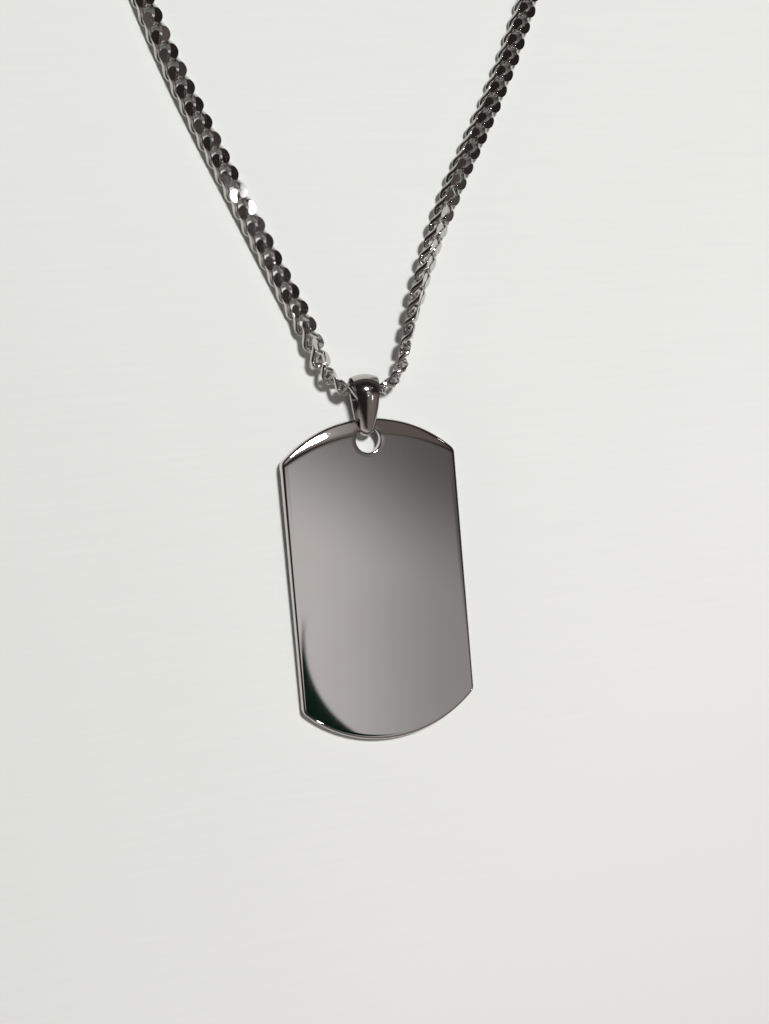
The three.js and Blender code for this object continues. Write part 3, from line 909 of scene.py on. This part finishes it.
# Table, light and camera
TABLE_HALF_SIZE = 3.0
TABLE_CLEARANCE = 0.02 * MM
TABLE_ROUGHNESS = 0.55
TABLE_SHINE = 0.3
# Painted light: the table's colour goes from the shaded tone to the lit tone along the lit way, in place of
# light falling off across the table
TABLE_SHADED = (0.765, 0.785, 0.755)
TABLE_LIT = (0.925, 0.93, 0.912)
TABLE_LIT_WAY = (0.6, -0.8, 0)
TABLE_LIT_REACH = 0.1
GRAIN_TURN = 4
GRAIN_STRETCH = (60, 1500, 1)
GRAIN_SHARE = 0.3


def table_top():
    """A broad pale table with a faint straight grain, over painted light: its colour runs from a shaded tone to
    a lit tone along one way.
    """
    low = cad_box[0].z - TABLE_CLEARANCE
    size = TABLE_HALF_SIZE
    mesh = bpy.data.meshes.new("table_top")
    corners = [(-size, -size, low), (size, -size, low), (size, size, low), (-size, size, low)]
    mesh.from_pydata(corners, [], [(0, 1, 2, 3)])
    table = bpy.data.objects.new("table_top", mesh)
    bpy.context.scene.collection.objects.link(table)
    material = bpy.data.materials.new("pale_board")
    material.use_nodes = True
    tree = material.node_tree
    shader = tree.nodes["Principled BSDF"]
    shader.inputs["Roughness"].default_value = TABLE_ROUGHNESS
    shader.inputs["Specular IOR Level"].default_value = TABLE_SHINE
    place = tree.nodes.new("ShaderNodeTexCoord").outputs["Object"]
    drawn = stretched(tree, place, GRAIN_TURN, GRAIN_STRETCH)
    grain = noise_node(tree, drawn, scale=1.0, detail=4.0, roughness=0.6)
    # Painted light: a ramp from the shaded to the lit colour across the table, with the real grain added on top
    painted_light = step(tree, along(tree, place, TABLE_LIT_WAY), -TABLE_LIT_REACH, TABLE_LIT_REACH)
    grain_and_painted_light = math_node(tree, "MULTIPLY_ADD", grain, GRAIN_SHARE, painted_light)
    tree.links.new(over(tree, TABLE_SHADED, TABLE_LIT, grain_and_painted_light), shader.inputs["Base Color"])
    table.data.materials.append(material)


def camera_frame():
    """Camera axes and place in the tag's frame, whose origin is the middle of the plate."""
    roll = Matrix.Rotation(math.radians(CAMERA_ROLL), 3, "Z")
    tilt = Matrix.Rotation(math.radians(CAMERA_TILT), 3, "X")
    pan = Matrix.Rotation(math.radians(CAMERA_PAN), 3, "Y")
    facing = Matrix(((1, 0, 0), (0, -1, 0), (0, 0, -1)))
    turned = pan @ tilt @ roll @ facing
    place = -(turned.transposed() @ CAMERA_OFFSET)
    axes = Matrix((turned[0], -turned[1], -turned[2])).transposed()
    return Matrix.Translation(place) @ axes.to_4x4()


def add_camera():
    data = bpy.data.cameras.new("camera")
    data.sensor_width = SENSOR
    data.lens = FOCAL_PIXELS / max(IMAGE_WIDTH, IMAGE_HEIGHT) * SENSOR
    data.clip_start = NEAREST_SEEN
    camera = bpy.data.objects.new("camera", data)
    bpy.context.scene.collection.objects.link(camera)
    middle = tag_place @ Matrix.Translation((0, 0, TAG_THICKNESS / 2))
    camera.matrix_world = middle @ camera_frame()
    bpy.context.scene.camera = camera
    return camera


LAMP_DISTANCE = 0.9
LAMP_COLOUR = (1, 1, 0.99)
KEY_WAY = (0.09, 0.33, 0.94)
LOW_WAY = (0.14, -0.35, 0.93)
SIDE_WAY = (0.55, -0.36, 0.75)


def soft_lamp(name, towards, width, power):
    """A round lamp in a direction from the tag, facing it."""
    data = bpy.data.lights.new(name, "AREA")
    data.shape = "DISK"
    data.size = width
    data.energy = power
    data.color = LAMP_COLOUR
    lamp = bpy.data.objects.new(name, data)
    bpy.context.scene.collection.objects.link(lamp)
    direction = Vector(towards).normalized()
    lamp.location = direction * LAMP_DISTANCE
    lamp.rotation_euler = (-direction).to_track_quat("-Z", "Y").to_euler()


def add_light():
    soft_lamp("key_lamp", KEY_WAY, width=0.13, power=6.4)
    soft_lamp("low_lamp", LOW_WAY, width=0.012, power=0.1)
    soft_lamp("side_lamp", SIDE_WAY, width=0.035, power=0.12)


def cap(tree, direction, towards, inner, outer):
    """1 within the inner angle of a direction, falling smoothly to 0 at the outer angle."""
    near = along(tree, direction, Vector(towards).normalized())
    return step(tree, near, math.cos(math.radians(outer)), math.cos(math.radians(inner)))


def rise(tree, direction, dim, bright, least):
    """A smooth rise between two directions, from the least value to 1."""
    way = bright - dim
    return step(tree, along(tree, direction, way), dim.dot(way), bright.dot(way), least)


def mirrored(camera, pixel):
    """The direction that the tag's face shows at a pixel of the image."""
    seen = Vector((pixel[0] - IMAGE_WIDTH / 2, IMAGE_HEIGHT / 2 - pixel[1], -FOCAL_PIXELS))
    ray = (camera.matrix_world.to_3x3() @ seen).normalized()
    normal = tag_place.to_3x3() @ UP
    return ray - 2 * ray.dot(normal) * normal


LIT_WALLS = (0.62, 0.595, 0.555)
DARK_WALLS = (0.10, 0.088, 0.082)
LIT_SIDE = Vector((-0.7, -0.7, 0))
OVERHEAD = (0.024, 0.020, 0.018)
KEY_GLOW = (0.42, 0.39, 0.37)
BROWN_CEILING = (0.15, 0.13, 0.118)
BROWN_WAY = (0.31, 0.28, 0.91)
BROWN_WALL = (0.24, 0.205, 0.195)
BROWN_WALL_WAY = (0.5, -0.68, 0.53)
LIT_CEILING = (0.72, 0.70, 0.685)
DARK_CORNER = (0.006, 0.018, 0.010)
BRIGHT_CARD = (4.5, 4.5, 4.5)
BRIGHT_CARD_WAY = (0.545, 0.338, 0.77)

# Places in the image whose reflections in the tag's face set out the lit ceiling and the dark corner
CEILING_MIDDLE = (377, 590)
CEILING_DIM_END = (440, 445)
CEILING_BRIGHT_END = (386, 584)
CEILING_DIM_SIDE = (470, 600)
CEILING_BRIGHT_SIDE = (290, 600)
CORNER_EDGE = (412, 640)
CORNER_MIDDLE = (290, 740)


def add_room(camera):
    """A dim room, with a lit ceiling where the tag's face looks and a small bright card for the chain."""
    world = bpy.data.worlds.new("studio_room")
    bpy.context.scene.world = world
    world.use_nodes = True
    tree = world.node_tree
    direction = tree.nodes.new("ShaderNodeTexCoord").outputs["Generated"]

    def shown(pixel):
        return mirrored(camera, pixel)

    room = over(tree, DARK_WALLS, LIT_WALLS, step(tree, along(tree, direction, LIT_SIDE), 0.0, 0.45))
    room = over(tree, room, OVERHEAD, cap(tree, direction, UP, inner=52, outer=78))
    room = over(tree, room, BROWN_WALL, cap(tree, direction, BROWN_WALL_WAY, inner=18, outer=40))
    room = over(tree, room, BROWN_CEILING, cap(tree, direction, BROWN_WAY, inner=8, outer=14))
    room = over(tree, room, KEY_GLOW, cap(tree, direction, KEY_WAY, inner=5, outer=13))
    lit = cap(tree, direction, shown(CEILING_MIDDLE), inner=9.5, outer=14)
    lengthwise = rise(tree, direction, shown(CEILING_DIM_END), shown(CEILING_BRIGHT_END), least=0.3)
    sideways = rise(tree, direction, shown(CEILING_DIM_SIDE), shown(CEILING_BRIGHT_SIDE), least=0.5)
    lit = math_node(tree, "MULTIPLY", lit, lengthwise)
    lit = math_node(tree, "MULTIPLY", lit, sideways)
    room = over(tree, room, LIT_CEILING, lit)
    corner = math_node(tree, "SUBTRACT", 1.0, cap(tree, direction, shown(CORNER_EDGE), inner=4.6, outer=4.78))
    near_corner = cap(tree, direction, shown(CORNER_MIDDLE), inner=3.6, outer=5.6)
    corner = math_node(tree, "MULTIPLY", corner, near_corner)
    room = over(tree, room, DARK_CORNER, corner)
    room = over(tree, room, BRIGHT_CARD, cap(tree, direction, BRIGHT_CARD_WAY, inner=1.1, outer=1.4))
    tree.links.new(room, tree.nodes["Background"].inputs["Color"])


table_top()
camera = add_camera()
add_light()
add_room(camera)
bpy.context.scene.view_settings.view_transform = "Standard"
